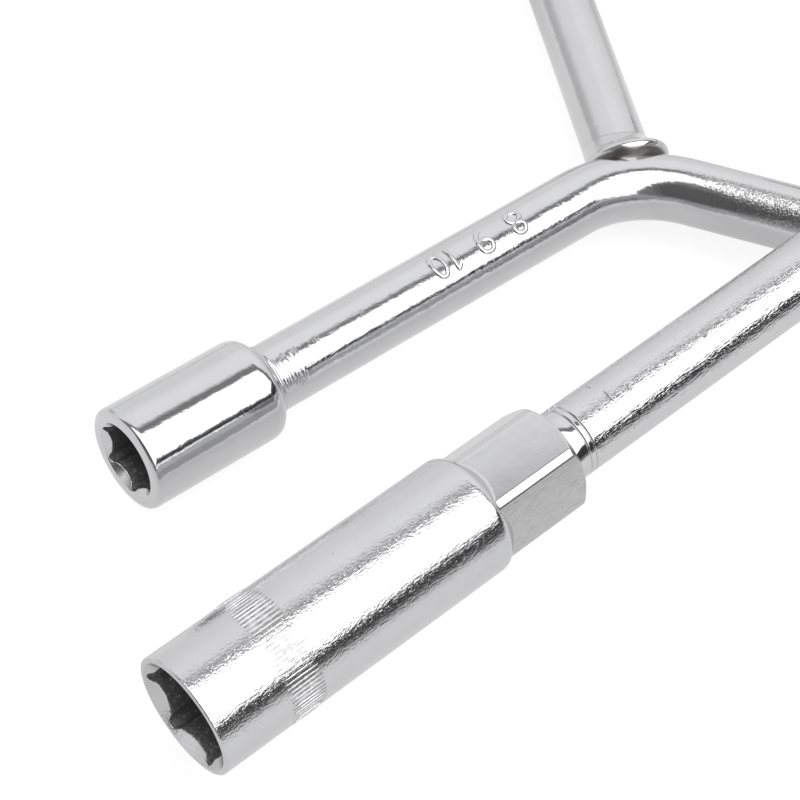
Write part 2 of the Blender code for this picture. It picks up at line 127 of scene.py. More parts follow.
# Weld beads
WELD_FLANK = 3.8 * MM
WELD_RIM = 3.1 * MM
WELD_FOOT = 0.6 * MM
WELD_SADDLE = 2.3 * MM
WELD_STAND = 1.6 * MM
WELD_HEAVY_SIDE = 1.0 * MM
WELD_RIM_RADIUS = 1.7 * MM
WELD_FRONT = 1.3 * MM            # length of the straight front under the rim
WELD_FRONT_SLOPE = math.radians(62)
FLANK_WAIST_SHARE = 0.36         # of the bead's height, half way down its flank
WELD_EDGE_STAND = 0.05 * MM      # of its thin upper edge over the rod
WELD_LUMPS = 0.04                # unevenness of its height, broad and fine
WELD_RIPPLES = 0.01
WELD_WANDER = 0.08 * MM          # unevenness along the rod
WELD_TUCK = 0.1 * MM             # its skin closes inside the rod this far past its upper edge,
WELD_TUCK_ABOVE = -0.3           # at this share of its height there,
WELD_TUCK_FRONT = -1.6           # and at this share at its front
WELD_FLANK_STEPS = 16
WELD_RIM_STEPS = 12
WELD_FRONT_STEPS = 8
WELD_SIDES = 160

# Braze fillets, as (along the rod from the socket's shoulder, radius, rounding)
BRAZE_OUTLINE = (
    (-0.2 * MM, 5.3 * MM, 0),
    (-0.2 * MM, 6.4 * MM, 0),
    (0.35 * MM, 6.35 * MM, 0.2 * MM),
    (0.8 * MM, 5.7 * MM, 0.25 * MM),
    (1.25 * MM, 5.9 * MM, 0.15 * MM),
    (1.35 * MM, 5.3 * MM, 0),
)

# How finely the pieces are turned and drawn
SOCKET_SIDES = 288
PLUG_SIDES = 360
BAR_SIDES = 128
BRAZE_SIDES = 144
DRAWN_SIDES = 96
DRAWN_SPACING = 0.6 * MM
ROD_DENTS = 160.0                # per metre
DENT_DEPTH = 0.05 * MM
BEND_STEPS = 64
ELLIPSE_STEPS = 28
CORNER_STEPS = 5
CORNER_ROOM_SHARE = 0.45         # of a side, for each of its two rounded corners
LONE_CORNER_ROOM_SHARE = 0.9     # of a side, for its only rounded corner
CORNER_SUPPORT = 0.12 * MM       # flat stretch kept beside a rounded corner, at most
CORNER_SUPPORT_SHARE = 0.04      # of the side that it lies on, at most
POLE_RADIUS = 0.05 * MM          # of the last ring before a closed end

# Raised size numbers on the 10 mm arm: distance from the crossing point, and angle from the top
NUMBER_PLACES = (("8", 26.1 * MM), ("9", 33.1 * MM), ("1", 39.6 * MM), ("0", 42.4 * MM))
NUMBER_TURN = math.radians(14)
NUMBER_HEIGHT = 4.8 * MM
NUMBER_STROKE = 0.52 * MM        # radius of the rounded stroke
NUMBER_STAND = 0.29 * MM         # how far it stands out of the rod
NUMBER_SIDES = 14
NUMBER_SPACING = 0.12 * MM
NUMBER_DENTS = 1500.0            # per metre

# Chuck marks and nicks
MARK_LIFT = 0.01 * MM            # of a burr's centre line over the rod

# Knurled band round the plug socket
KNURL_START = 11.3 * MM
KNURL_LENGTH = 6.0 * MM
KNURL_LINES = 86
KNURL_WIDTH = 0.34 * MM
KNURL_HEIGHT = 0.27 * MM         # of a whole line, half of it sunk in the wall
KNURL_SEED = 4
KNURL_LEAST = (0.25, 0.6, 0.6)   # of a line's height, width and length
KNURL_MOST = (1.0, 1.1, 1.0)

# Finish
CHROME = (0.60, 0.60, 0.61)
CHROME_CLOUDS = (0.95, 1.04)     # darker and lighter, as shares of its colour
BARE_STEEL = (0.30, 0.30, 0.30)
BRIGHT_FLECK = (0.70, 0.70, 0.70)
# colour of dirt, also used for painted shade
GRIME_AND_SHADE = (0.16, 0.15, 0.14)
PLATE_ROUGHNESS = 0.07
WELD_ROUGHNESS = 0.12
PLUG_ROUGHNESS = 0.13
BAR_ROUGHNESS = 0.06
DULL_SPOTS = 0.05                # added to the roughness here and there,
GRIME_AND_SHADE_ROUGHNESS = 0.3            # where there is dirt and painted shade,
BORE_ROUGHNESS = 0.4             # and inside a bore
BORE_TEARS = 0.06                # relief inside a bore, in mm

# Relief in mm: orange peel, dents, hairs along the piece; then a hair's width as a share of its length
SKINS = {
    "socket": (0.0050, 0.018, 0.0015, 0.3),
    "plug": (0.0070, 0.016, 0.0240, 0.45),
    "bar": (0.0080, 0.020, 0.0380, 0.22),
    "rod": (0.0090, 0.030, 0.0080, 0.35),
    "weld": (0.0070, 0.030, 0.0, 1.0),
}

# Pits in mm: spacing, radius, depth
PITS = {
    "socket": (2.6, 0.13, 0.02),
    "plug": (2.2, 0.13, 0.03),
    "rod": (3.1, 0.14, 0.03),
}
PIT_FLOOR_SHARE = 0.35           # radius of a pit's floor, of its own
PIT_DIRT = 0.75

# Zones of wear and of painted shade, as the two ends of a smooth step, in mm of the piece's own coordinates
ARM_9_SIDE = (-0.866, -0.5)      # way across the 9 mm arm, in X and Y
HAMMERED_ALONG = (2.0, 9.0)
HAMMERED_ACROSS = (0.4, 1.8)
HAMMERED_UP = (1.6, 3.2)
HAMMERED_DEPTH = 0.05
HAMMERED_DIRT = 0.75
GRIPPED_ALONG = (-69.8, -72.5)   # on the 10 mm arm, beside its socket
GRIPPED_ACROSS = (0.4, 1.8)
GRIPPED_UP = (0.4, 1.6)
GRIPPED_DEPTH = 0.05
SHADED_FLAT_ALONG = (51.0, 52.3)   # flat of the shank that faces the camera, painted darker as shade
SHADED_FLAT_SIDE = (5.5, 6.0)
POLISHED_BAR_ALONG = (72.0, 71.2)
# painted shade on the bar's neck at the shank
SHADED_NECK_ALONG = (68.5, 67.5)
SHADED_FRONT = (-0.95, -1.35)      # painted shade on a weld bead's front, in mm from its rim
# how dark that painted shade is
SHADED_FRONT_LEVEL = 0.9
CALM_FINE = 0.96                 # share of the fine relief that a calm zone takes away,
CALM_BROAD = 0.6                 # and of the broad


# Where the tools lie, from the mounts in the model's record

def mount(name):
    """Place and outward direction of a mount."""
    for item in frame["record"]["mounts"]:
        if item["name"] == name:
            return Vector(item["pos_m"]), Vector(item["axis"])


def axes_at(origin, along, up):
    """Frame with X along one direction and Z as near as can be to another."""
    x = along.normalized()
    y = up.cross(x).normalized()
    turn = Matrix((x, y, x.cross(y))).transposed().to_4x4()
    return Matrix.Translation(origin) @ turn


def mouth_radius(flats):
    return LEAD_IN_SHARE * flats / 2 / math.cos(HALF_CORNER)


def find_y_wrench():
    """Frame at the crossing point of the arms, X away from the 10 mm arm."""
    face, out = mount("mouth_10mm")
    up = out.cross(mount("mouth_9mm")[1]).normalized()
    _, flats, outside = SOCKETS["10mm"]
    middle = (mouth_radius(flats) + outside - SOCKET_NOSE_ROUND) / 2
    return axes_at(face - up * middle - out * ARM_REACH, -out, up)


def find_plug_wrench():
    """Frame at the middle of the plug wrench's mouth, X towards its handle."""
    face, out = mount("mouth_plug")
    lie = axes_at(face, -out, Vector((0.0, 0.0, 1.0)))
    middle = (mouth_radius(PLUG_FLATS) + PLUG_RADIUS - PLUG_NOSE_ROUND) / 2
    return lie @ Matrix.Translation((0.0, 0.0, -middle))


Y_FRAME = find_y_wrench()
PLUG_FRAME = find_plug_wrench()


# Shader maths

class Wire:
    """An output of a node that can stand in a sum or product."""

    def __init__(self, tree, socket):
        self.tree = tree
        self.socket = socket

    def _math(self, operation, *values):
        return add_node(self.tree, "ShaderNodeMath", {"operation": operation}, dict(enumerate(values)))

    def __add__(self, other):
        return self._math("ADD", self, other)

    def __sub__(self, other):
        return self._math("SUBTRACT", self, other)

    def __mul__(self, other):
        return self._math("MULTIPLY", self, other)

    def __truediv__(self, other):
        return self._math("DIVIDE", self, other)

    def __pow__(self, other):
        return self._math("POWER", self, other)

    def __rsub__(self, other):
        return self._math("SUBTRACT", other, self)

    __radd__ = __add__
    __rmul__ = __mul__

    def least(self, other):
        return self._math("MINIMUM", self, other)

    def size(self):
        return self._math("ABSOLUTE", self)

    def step(self, low, high):
        """0 at low and 1 at high, smooth between; low may be the larger."""
        settings = {"interpolation_type": "SMOOTHSTEP"}
        ends = {1: low, 2: high, 3: 0.0, 4: 1.0} if low < high else {1: high, 2: low, 3: 1.0, 4: 0.0}
        return add_node(self.tree, "ShaderNodeMapRange", settings, {0: self, **ends})

    def hump(self, middle, half_width):
        """1 at the middle, falling smoothly to 0 half a width away."""
        return (self - middle).size().step(half_width, 0.0)


def add_node(tree, kind, settings, values, output=0):
    """Adds a node: its settings first, then the values or links of its inputs."""
    node = tree.nodes.new(kind)
    for name, value in settings.items():
        setattr(node, name, value)
    for name, value in values.items():
        if isinstance(value, Wire):
            tree.links.new(value.socket, node.inputs[name])
        else:
            node.inputs[name].default_value = value
    return Wire(tree, node.outputs[output])


def dot(tree, vector, direction):
    values = {0: vector, 1: direction}
    return add_node(tree, "ShaderNodeVectorMath", {"operation": "DOT_PRODUCT"}, values, "Value")


def stretched(tree, vector, scale):
    return add_node(tree, "ShaderNodeVectorMath", {"operation": "MULTIPLY"}, {0: vector, 1: scale})


def grain(tree, vector, scale, detail=2.0, roughness=0.5):
    """Noise about 0, from -1 to 1; scale is in lumps per unit of the vector."""
    values = {"Vector": vector, "Scale": scale, "Detail": detail, "Roughness": roughness}
    return add_node(tree, "ShaderNodeTexNoise", {}, values, "Fac") * 2.0 - 1.0


def blend(tree, mask, below, above):
    values = {"Factor": mask, "A": below, "B": above}
    return add_node(tree, "ShaderNodeMix", {"data_type": "RGBA"}, values, "Result")


def opaque(*levels):
    return (*levels, 1.0)


class Plate:
    """A chrome plate material in the making: its piece's own coordinates in mm, its relief, its wear and its
    painted shade.
    """

    def __init__(self, name, lie):
        self.material = bpy.data.materials.new(name)
        self.material.use_nodes = True
        self.tree = self.material.node_tree
        self.shader = self.tree.nodes["Principled BSDF"]
        here = add_node(self.tree, "ShaderNodeTexCoord", {}, {}, "Object")
        place = {"Vector": here, "Location": lie.to_translation(), "Rotation": lie.to_euler()}
        own = add_node(self.tree, "ShaderNodeMapping", {"vector_type": "TEXTURE"}, place)
        self.own = stretched(self.tree, own, (1 / MM,) * 3)
        parts = [add_node(self.tree, "ShaderNodeSeparateXYZ", {}, {"Vector": self.own}, i) for i in range(3)]
        self.x, self.y, self.z = parts
        self.radial = (self.y * self.y + self.z * self.z) ** 0.5
        self.height = 0.0
        self.dirt_and_shade = None

    def add_height(self, height):
        """Relief in millimetres."""
        self.height = height + self.height

    def add_skin(self, kind, rough_zone=None, calm_zone=None):
        """Relief of plated steel: orange peel, dents and hairs; one zone is hammered, one nearly clean."""
        peel, dents, hairs, shortness = SKINS[kind]
        tree = self.tree
        fine = grain(tree, self.own, 2.6, 2.0, 0.55) * peel
        if rough_zone is not None:
            fine = fine + grain(tree, self.own, 2.4, 2.0, 0.6) * HAMMERED_DEPTH * rough_zone
        if hairs:
            along = stretched(tree, self.own, (shortness, 1.0, 1.0))
            fine = fine + grain(tree, along, 3.2, 2.0, 0.6) * hairs
        broad = grain(tree, self.own, 0.3, 2.0) * dents
        if calm_zone is not None:
            fine = fine * (1.0 - CALM_FINE * calm_zone)
            broad = broad * (1.0 - CALM_BROAD * calm_zone)
        self.add_height(fine)
        self.add_height(broad)

    def add_pits(self, kind):
        """Round pits here and there under the plate, with dark bottoms."""
        spacing, radius, depth = PITS[kind]
        cells = {"Vector": self.own, "Scale": 1 / spacing}
        near = add_node(self.tree, "ShaderNodeTexVoronoi", {"feature": "F1"}, cells, "Distance") * spacing
        shown = grain(self.tree, self.own, 0.19, 0.0).step(0.05, 0.2)
        pit = near.step(radius, radius * PIT_FLOOR_SHARE) * shown
        self.add_height(pit * -depth)
        self.add_dirt_and_shade(pit * PIT_DIRT)

    def add_dirt_and_shade(self, dirt_and_shade):
        self.dirt_and_shade = dirt_and_shade if self.dirt_and_shade is None else (self.dirt_and_shade + dirt_and_shade).least(1.0)

    def finish(self, inside=None, roughness=PLATE_ROUGHNESS):
        """Sets the colours; inside is a mask of the unplated bore."""
        tree = self.tree
        cloud = grain(tree, self.own, 0.16, 3.0) * 0.5 + 0.5
        darker, lighter = [opaque(*(level * share for level in CHROME)) for share in CHROME_CLOUDS]
        colour = blend(tree, cloud, darker, lighter)
        rough = roughness + DULL_SPOTS * grain(tree, self.own, 0.7, 3.0).step(-0.2, 0.8)
        # Dirt and painted shade darken the colour here.
        if self.dirt_and_shade is not None:
            colour = blend(tree, self.dirt_and_shade, colour, opaque(*GRIME_AND_SHADE))
            rough = rough + self.dirt_and_shade * GRIME_AND_SHADE_ROUGHNESS
        if inside is not None:
            fleck = grain(tree, self.own, 1.9, 3.0, 0.7).step(0.06, 0.4)
            bore = blend(tree, fleck, opaque(*BARE_STEEL), opaque(*BRIGHT_FLECK))
            colour = blend(tree, inside, colour, bore)
            rough = rough + inside * BORE_ROUGHNESS
            self.add_height(grain(tree, self.own, 2.2, 3.0, 0.7) * BORE_TEARS * inside)
        tree.links.new(colour.socket, self.shader.inputs["Base Color"])
        tree.links.new(rough.socket, self.shader.inputs["Roughness"])
        self.shader.inputs["Metallic"].default_value = 1.0
        bump = {"Strength": 1.0, "Distance": 1.0, "Height": self.height * MM}
        relief = add_node(tree, "ShaderNodeBump", {}, bump)
        tree.links.new(relief.socket, self.shader.inputs["Normal"])
        return self.material


# Shapes

def skin(name, rings, material):
    """Closed surface through rings of equal length, as an object at the origin."""
    mesh = bmesh.new()
    verts = [[mesh.verts.new(point) for point in ring] for ring in rings]
    count = len(verts[0])
    for near, far in zip(verts, verts[1:]):
        for i in range(count):
            j = (i + 1) % count
            mesh.faces.new((near[i], near[j], far[j], far[i]))
    for ring in (verts[0], verts[-1]):
        centre = mesh.verts.new(sum((vert.co for vert in ring), Vector()) / count)
        for i in range(count):
            mesh.faces.new((ring[i], centre, ring[(i + 1) % count]))
    bmesh.ops.recalc_face_normals(mesh, faces=mesh.faces)
    return as_object(name, mesh, material)


def as_object(name, mesh, material):
    data = bpy.data.meshes.new(name)
    mesh.to_mesh(data)
    mesh.free()
    data.materials.append(material)
    data.shade_smooth()
    item = bpy.data.objects.new(name, data)
    bpy.context.scene.collection.objects.link(item)
    return item


def round_corners(outline):
    """Rounds the corners of an (x, radius, rounding) outline and keeps the straights beside them flat."""
    points = [Vector((x, r)) for x, r, _ in outline]
    rounded = [points[0]]
    for i in range(1, len(points) - 1):
        rounding = outline[i][2]
        if rounding == 0:
            rounded.append(points[i])
            continue
        back, ahead = points[i - 1] - points[i], points[i + 1] - points[i]
        room = [CORNER_ROOM_SHARE if outline[j][2] else LONE_CORNER_ROOM_SHARE for j in (i - 1, i + 1)]
        reach = min(rounding, back.length * room[0], ahead.length * room[1])
        start, end = points[i] + back.normalized() * reach, points[i] + ahead.normalized() * reach
        rounded.append(start + back.normalized() * min(CORNER_SUPPORT, back.length * CORNER_SUPPORT_SHARE))
        for step in range(CORNER_STEPS + 1):
            t = step / CORNER_STEPS
            rounded.append(start * (1 - t) ** 2 + points[i] * (2 * t * (1 - t)) + end * t ** 2)
        rounded.append(end + ahead.normalized() * min(CORNER_SUPPORT, ahead.length * CORNER_SUPPORT_SHARE))
    rounded.append(points[-1])
    return rounded


def turned(name, outline_at, sides, lie, material):
    """Skin turned about X; its outline may differ from one angle to the next."""
    columns = []
    for i in range(sides):
        turn = 2 * math.pi * i / sides
        columns.append([Vector((p.x, p.y * math.cos(turn), p.y * math.sin(turn)))
                        for p in round_corners(outline_at(turn))])
    return skin(name, [[lie @ point for point in ring] for ring in zip(*columns)], material)


def hex_reach(turn, flats, roll):
    """Distance from the axis to a hexagon's side; its corners are at the roll."""
    off_corner = (turn - roll) % math.radians(60)
    return flats / 2 / math.cos(off_corner - HALF_CORNER)


def broached_reach(turn, flats, roll):
    """The same for a broached hexagon, with small round reliefs in its corners and a torn surface."""
    lobe = BROACH_LOBE_SHARE * flats
    centre = flats / 2 / math.cos(HALF_CORNER) + BROACH_LOBE_OUT_SHARE * flats - lobe
    off_corner = (turn - roll + HALF_CORNER) % math.radians(60) - HALF_CORNER
    inside = lobe ** 2 - (centre * math.sin(off_corner)) ** 2
    relief = centre * math.cos(off_corner) + math.sqrt(inside) if inside > 0 else 0.0
    spot = Vector((math.cos(turn), math.sin(turn), 0.0))
    torn = sum(noise.noise(spot * often) * depth for often, depth in BROACH_TEARS)
    return max(relief, hex_reach(turn, flats, roll)) + torn * MM


def arm_frame(angle, reach):
    """Frame on an arm of the Y, X pointing back to the crossing point."""
    out = Matrix.Rotation(math.radians(angle), 4, "Z")
    return Y_FRAME @ out @ Matrix.Translation((reach, 0.0, 0.0)) @ Matrix.Rotation(math.pi, 4, "Z")


# Geometry nodes

class Geometry:
    """A node group with named inputs, ending in Realize Instances and Set Material."""

    def __init__(self, name):
        self.tree = bpy.data.node_groups.new(name, "GeometryNodeTree")
        self.tree.interface.new_socket("Geometry", in_out="OUTPUT", socket_type="NodeSocketGeometry")
        self.inputs = self.tree.nodes.new("NodeGroupInput")
        self.identifiers = {}

    def input(self, name, kind="NodeSocketFloat"):
        socket = self.tree.interface.new_socket(name, in_out="INPUT", socket_type=kind)
        self.identifiers[name] = socket.identifier
        return Wire(self.tree, self.inputs.outputs[name])

    def node(self, kind, settings, values, output=0):
        return add_node(self.tree, kind, settings, values, output)

    def end(self, geometry, material):
        whole = self.node("GeometryNodeRealizeInstances", {}, {0: geometry})
        painted = self.node("GeometryNodeSetMaterial", {}, {"Geometry": whole, "Material": material})
        out = self.tree.nodes.new("NodeGroupOutput")
        self.tree.links.new(painted.socket, out.inputs[0])

    def run(self, name, data, place, values):
        """Runs the tree on some data and keeps the result as a plain mesh object at the origin."""
        source = bpy.data.objects.new(name + "_source", data)
        bpy.context.scene.collection.objects.link(source)
        modifier = source.modifiers.new("shape", "NODES")
        modifier.node_group = self.tree
        for key, value in values.items():
            modifier[self.identifiers[key]] = value
        view = bpy.context.evaluated_depsgraph_get()
        mesh = bpy.data.meshes.new_from_object(source.evaluated_get(view), depsgraph=view)
        bpy.data.objects.remove(source, do_unlink=True)
        mesh.transform(place)
        merged = bmesh.new()
        merged.from_mesh(mesh)
        bmesh.ops.remove_doubles(merged, verts=merged.verts, dist=1e-7)
        bmesh.ops.recalc_face_normals(merged, faces=merged.faces)
        merged.to_mesh(mesh)
        merged.free()
        mesh.name = name
        mesh.shade_smooth()
        item = bpy.data.objects.new(name, mesh)
        bpy.context.scene.collection.objects.link(item)
        return item


def drawn_rod_nodes(material):
    """A round bar drawn along a curve, with shallow dents."""
    made = Geometry("drawn_rod")
    path = made.input("Path", "NodeSocketGeometry")
    radius = made.input("Rod radius")
    spacing = made.input("Ring spacing")
    sides = made.input("Sides", "NodeSocketInt")
    dent_size = made.input("Dents per metre")
    dent_depth = made.input("Dent depth")
    dense = made.node("GeometryNodeResampleCurve", {"mode": "LENGTH"}, {"Curve": path, "Length": spacing})
    section = made.node("GeometryNodeCurvePrimitiveCircle", {}, {"Resolution": sides, "Radius": radius})
    tube = made.node("GeometryNodeCurveToMesh", {},
                     {"Curve": dense, "Profile Curve": section, "Fill Caps": True})
    facing = made.node("GeometryNodeInputNormal", {}, {})
    lumps = made.node("ShaderNodeTexNoise", {}, {"Scale": dent_size, "Detail": 1.0}, "Fac")
    lift = (lumps - 0.5) * dent_depth
    shift = made.node("ShaderNodeVectorMath", {"operation": "SCALE"}, {0: facing, "Scale": lift})
    uneven = made.node("GeometryNodeSetPosition", {}, {"Geometry": tube, "Offset": shift})
    made.end(uneven, material)
    return made


def knurl_nodes(material):
    """Fine raised lines side by side round a circle about Z, each a long flat grain."""
    made = Geometry("knurl_band")
    count = made.input("Lines", "NodeSocketInt")
    radius = made.input("Band radius")
    length = made.input("Line length")
    width = made.input("Line width")
    height = made.input("Line height")
    seed = made.input("Seed", "NodeSocketInt")
    ring = made.node("GeometryNodeMeshCircle", {}, {"Vertices": count, "Radius": radius})
    grain_shape = made.node("GeometryNodeMeshUVSphere", {}, {"Segments": 10, "Rings": 10, "Radius": 0.5})
    size = made.node("ShaderNodeCombineXYZ", {}, {0: height, 1: width, 2: length})
    line = made.node("GeometryNodeTransform", {}, {"Geometry": grain_shape, "Scale": size})
    position = made.node("GeometryNodeInputPosition", {}, {})
    outward = made.node("FunctionNodeAlignRotationToVector", {"axis": "X", "pivot_axis": "Z"},
                        {"Vector": position})
    uneven = made.node("FunctionNodeRandomValue", {"data_type": "FLOAT_VECTOR"},
                       {0: KNURL_LEAST, 1: KNURL_MOST, "Seed": seed})
    lines = made.node("GeometryNodeInstanceOnPoints", {},
                      {"Points": ring, "Instance": line, "Rotation": outward, "Scale": uneven})
    made.end(lines, material)
    return made


def chuck_mark_nodes(material):
    """Short raised burrs across a rod along X, one behind the other, each at its own angle."""
    made = Geometry("chuck_marks")
    count = made.input("Marks", "NodeSocketInt")
    start = made.input("Start", "NodeSocketVector")
    pitch = made.input("Pitch", "NodeSocketVector")
    radius = made.input("Rod radius")
    sweep = made.input("Sweep")
    width = made.input("Half width")
    first = made.input("First angle")
    last = made.input("Last angle")
    seed = made.input("Seed", "NodeSocketInt")
    row = made.node("GeometryNodeMeshLine", {}, {"Count": count, "Start Location": start, "Offset": pitch})
    arc = made.node("GeometryNodeCurveArc", {}, {"Resolution": 9, "Radius": radius, "Sweep Angle": sweep})
    along = made.node("GeometryNodeSplineParameter", {}, {}, "Factor")
    taper = (along * (1.0 - along) * 4.0) ** 0.6
    burr = made.node("GeometryNodeCurvePrimitiveCircle", {}, {"Resolution": 8, "Radius": width})
    line = made.node("GeometryNodeCurveToMesh", {},
                     {"Curve": arc, "Profile Curve": burr, "Scale": taper, "Fill Caps": True})
    across = made.node("GeometryNodeTransform", {},
                       {"Geometry": line, "Rotation": (0.0, math.radians(-90), 0.0)})
    turn = made.node("FunctionNodeRandomValue", {"data_type": "FLOAT"}, {2: first, 3: last, "Seed": seed}, 1)
    about = made.node("FunctionNodeAxisAngleToRotation", {}, {"Axis": (1.0, 0.0, 0.0), "Angle": turn})
    marks = made.node("GeometryNodeInstanceOnPoints", {},
                      {"Points": row, "Instance": across, "Rotation": about})
    made.end(marks, material)
    return made


# Y wrench

def poly_curve(name, points, closed=False):
    data = bpy.data.curves.new(name, "CURVE")
    data.dimensions = "3D"
    spline = data.splines.new("POLY")
    spline.points.add(len(points) - 1)
    for knot, point in zip(spline.points, points):
        knot.co = (*point, 1.0)
    spline.use_cyclic_u = closed
    return data


def bent_line():
    """Centre line of the bent bar in the model, from the 10 mm socket to the 9 mm socket."""
    first, last = Vector((-1.0, 0.0, 0.0)), Vector((0.5, -math.sin(math.radians(60)), 0.0))
    towards = (first + last).normalized()
    centre = towards * (BEND_RADIUS / math.cos(HALF_CORNER))
    points = [first * (SHOULDER_REACH + ROD_INTO_SOCKET)]
    for step in range(BEND_STEPS + 1):
        turn = HALF_CORNER * (2 * step / BEND_STEPS - 1)
        points.append(centre + Matrix.Rotation(-turn, 3, "Z") @ (-towards) * BEND_RADIUS)
    points.append(last * (SHOULDER_REACH + ROD_INTO_SOCKET))
    return [Y_FRAME @ point for point in points]


def socket_outline(flats, radius):
    mouth = mouth_radius(flats)
    pilot = PILOT_SHARE * flats
    tail = SOCKET_TAIL_SHARE * (radius - ROD_RADIUS)
    depth = SOCKET_HEX_DEPTH
    end = depth + SOCKET_PILOT_EXTRA

    def outline(turn):
        wall = broached_reach(turn, flats, SOCKET_HEX_ROLL)
        return [
            (SOCKET_LENGTH, ROD_RADIUS - SOCKET_OVERLAP, 0),
            (SOCKET_LENGTH, radius, tail),
            (0.0, radius, SOCKET_NOSE_ROUND),
            (0.0, mouth, SOCKET_MOUTH_ROUND),
            (mouth - wall, wall, SOCKET_LEAD_IN_ROUND),
            (depth, wall, BROACH_EDGE_ROUND),
            (depth, pilot, BROACH_EDGE_ROUND),
            (end, pilot, BROACH_EDGE_ROUND),
            (end + DRILL_POINT_SHARE * pilot, POLE_RADIUS, 0)]
    return outline


def bore_mask(plate, mouth, end):
    """1 inside a hexagonal bore, from just behind its mouth cone."""
    behind = (plate.x + plate.radial - mouth / MM).step(0.04, 0.2)
    within = plate.radial.step(mouth / MM + 0.05, mouth / MM - 0.05)
    return behind * within * plate.x.step(end / MM + 1, end / MM)


def build_sockets():
    for size, (angle, flats, outside) in SOCKETS.items():
        lie = arm_frame(angle, ARM_REACH)
        plate = Plate("socket_plate_" + size, lie)
        plate.add_skin("socket")
        plate.add_pits("socket")
        material = plate.finish(bore_mask(plate, mouth_radius(flats), SOCKET_BARE_DEPTH))
        outline_at = socket_outline(flats, outside)
        socket = turned("socket_skin_" + size, outline_at, SOCKET_SIDES, lie, material)
        add_piece(socket, "y_wrench", "socket_" + size)


def build_braze_rings():
    for size, (angle, _, _) in SOCKETS.items():
        lie = arm_frame(angle, SHOULDER_REACH)
        plate = Plate("braze_plate_" + size, lie)
        plate.add_skin("weld")
        material = plate.finish(roughness=WELD_ROUGHNESS)
        ring = turned("braze_fillet_" + size, lambda turn: BRAZE_OUTLINE, BRAZE_SIDES, lie, material)
        add_piece(ring, "y_wrench", "braze_ring_" + size)


def build_rods():
    plate = Plate("bent_bar_plate", Y_FRAME)
    side_x, side_y = ARM_9_SIDE
    bright_side = (plate.x * side_x + plate.y * side_y).step(*HAMMERED_ACROSS) * plate.z.step(*HAMMERED_UP)
    hammered = plate.x.step(*HAMMERED_ALONG) * bright_side
    plate.add_skin("rod", rough_zone=hammered)
    gripped = plate.x.step(*GRIPPED_ALONG) * (plate.y * -1.0).step(*GRIPPED_ACROSS)
    gripped = gripped * plate.z.step(*GRIPPED_UP)
    rings = stretched(plate.tree, plate.own, (2.6, 0.22, 0.22))
    plate.add_height(grain(plate.tree, rings, 1.0, 1.0) * GRIPPED_DEPTH * gripped)
    plate.add_pits("rod")
    plate.add_dirt_and_shade(grain(plate.tree, plate.own, 2.4, 2.0, 0.6).step(-0.35, 0.3) * HAMMERED_DIRT * hammered)
    rods = drawn_rod_nodes(plate.finish())
    sizes = {"Rod radius": ROD_RADIUS, "Ring spacing": DRAWN_SPACING, "Sides": DRAWN_SIDES,
             "Dents per metre": ROD_DENTS, "Dent depth": DENT_DEPTH}
    bar = rods.run("bent_bar_skin", poly_curve("bent_line", bent_line()), HERE, sizes)
    add_piece(bar, "y_wrench", "bent_bar")
    arm_line = [Y_FRAME @ Vector((reach * 0.5, reach * math.sin(math.radians(60)), 0.0))
                for reach in (-BEND_CUT_IN, SHOULDER_REACH + ROD_INTO_SOCKET)]
    arm = rods.run("third_arm_skin", poly_curve("third_arm_line", arm_line), HERE, sizes)
    add_piece(arm, "y_wrench", "third_arm")


def ellipse(across, up, wide, tall):
    turns = [math.radians(360 * step / ELLIPSE_STEPS) for step in range(ELLIPSE_STEPS)]
    return [(across + wide * math.cos(turn), up + tall * math.sin(turn)) for turn in turns]


def number_strokes(digit):
    """Centre lines of a digit's strokes as (across, up) points, in shares of its height."""
    if digit == "8":
        return [(ellipse(0, -0.22, 0.26, 0.21), True), (ellipse(0, 0.21, 0.22, 0.2), True)]
    if digit == "9":
        tail = [(0.25, 0.2), (0.24, 0.02), (0.17, -0.17), (0.05, -0.33), (-0.12, -0.43)]
        return [(ellipse(0, 0.2, 0.25, 0.23), True), (tail, False)]
    if digit == "1":
        return [([(0, 0.43 * step / 5) for step in range(-5, 6)] + [(-0.07, 0.36), (-0.16, 0.27)], False)]
    return [(ellipse(0, 0, 0.23, 0.42), True)]


def build_numbers():
    """Plain raised size numbers, reading from the crossing point out along the 10 mm arm."""
    plate = Plate("number_plate", Y_FRAME)
    plate.add_skin("rod")
    strokes = drawn_rod_nodes(plate.finish())
    sizes = {"Rod radius": NUMBER_STROKE, "Ring spacing": NUMBER_SPACING, "Sides": NUMBER_SIDES,
             "Dents per metre": NUMBER_DENTS, "Dent depth": DENT_DEPTH}
    depth = ROD_RADIUS + NUMBER_STAND - NUMBER_STROKE
    for digit, middle in NUMBER_PLACES:
        for part, (outline, closed) in enumerate(number_strokes(digit)):
            line = []
            for across, up in outline:
                turn = NUMBER_TURN + up * NUMBER_HEIGHT / ROD_RADIUS
                out = middle + across * NUMBER_HEIGHT
                line.append(Y_FRAME @ Vector((-out, -depth * math.sin(turn), depth * math.cos(turn))))
            name = "size_number_" + digit + "_" + "ab"[part]
            stroke = strokes.run(name, poly_curve(name + "_line", line, closed), HERE, sizes)
            add_piece(stroke, "y_wrench", None)


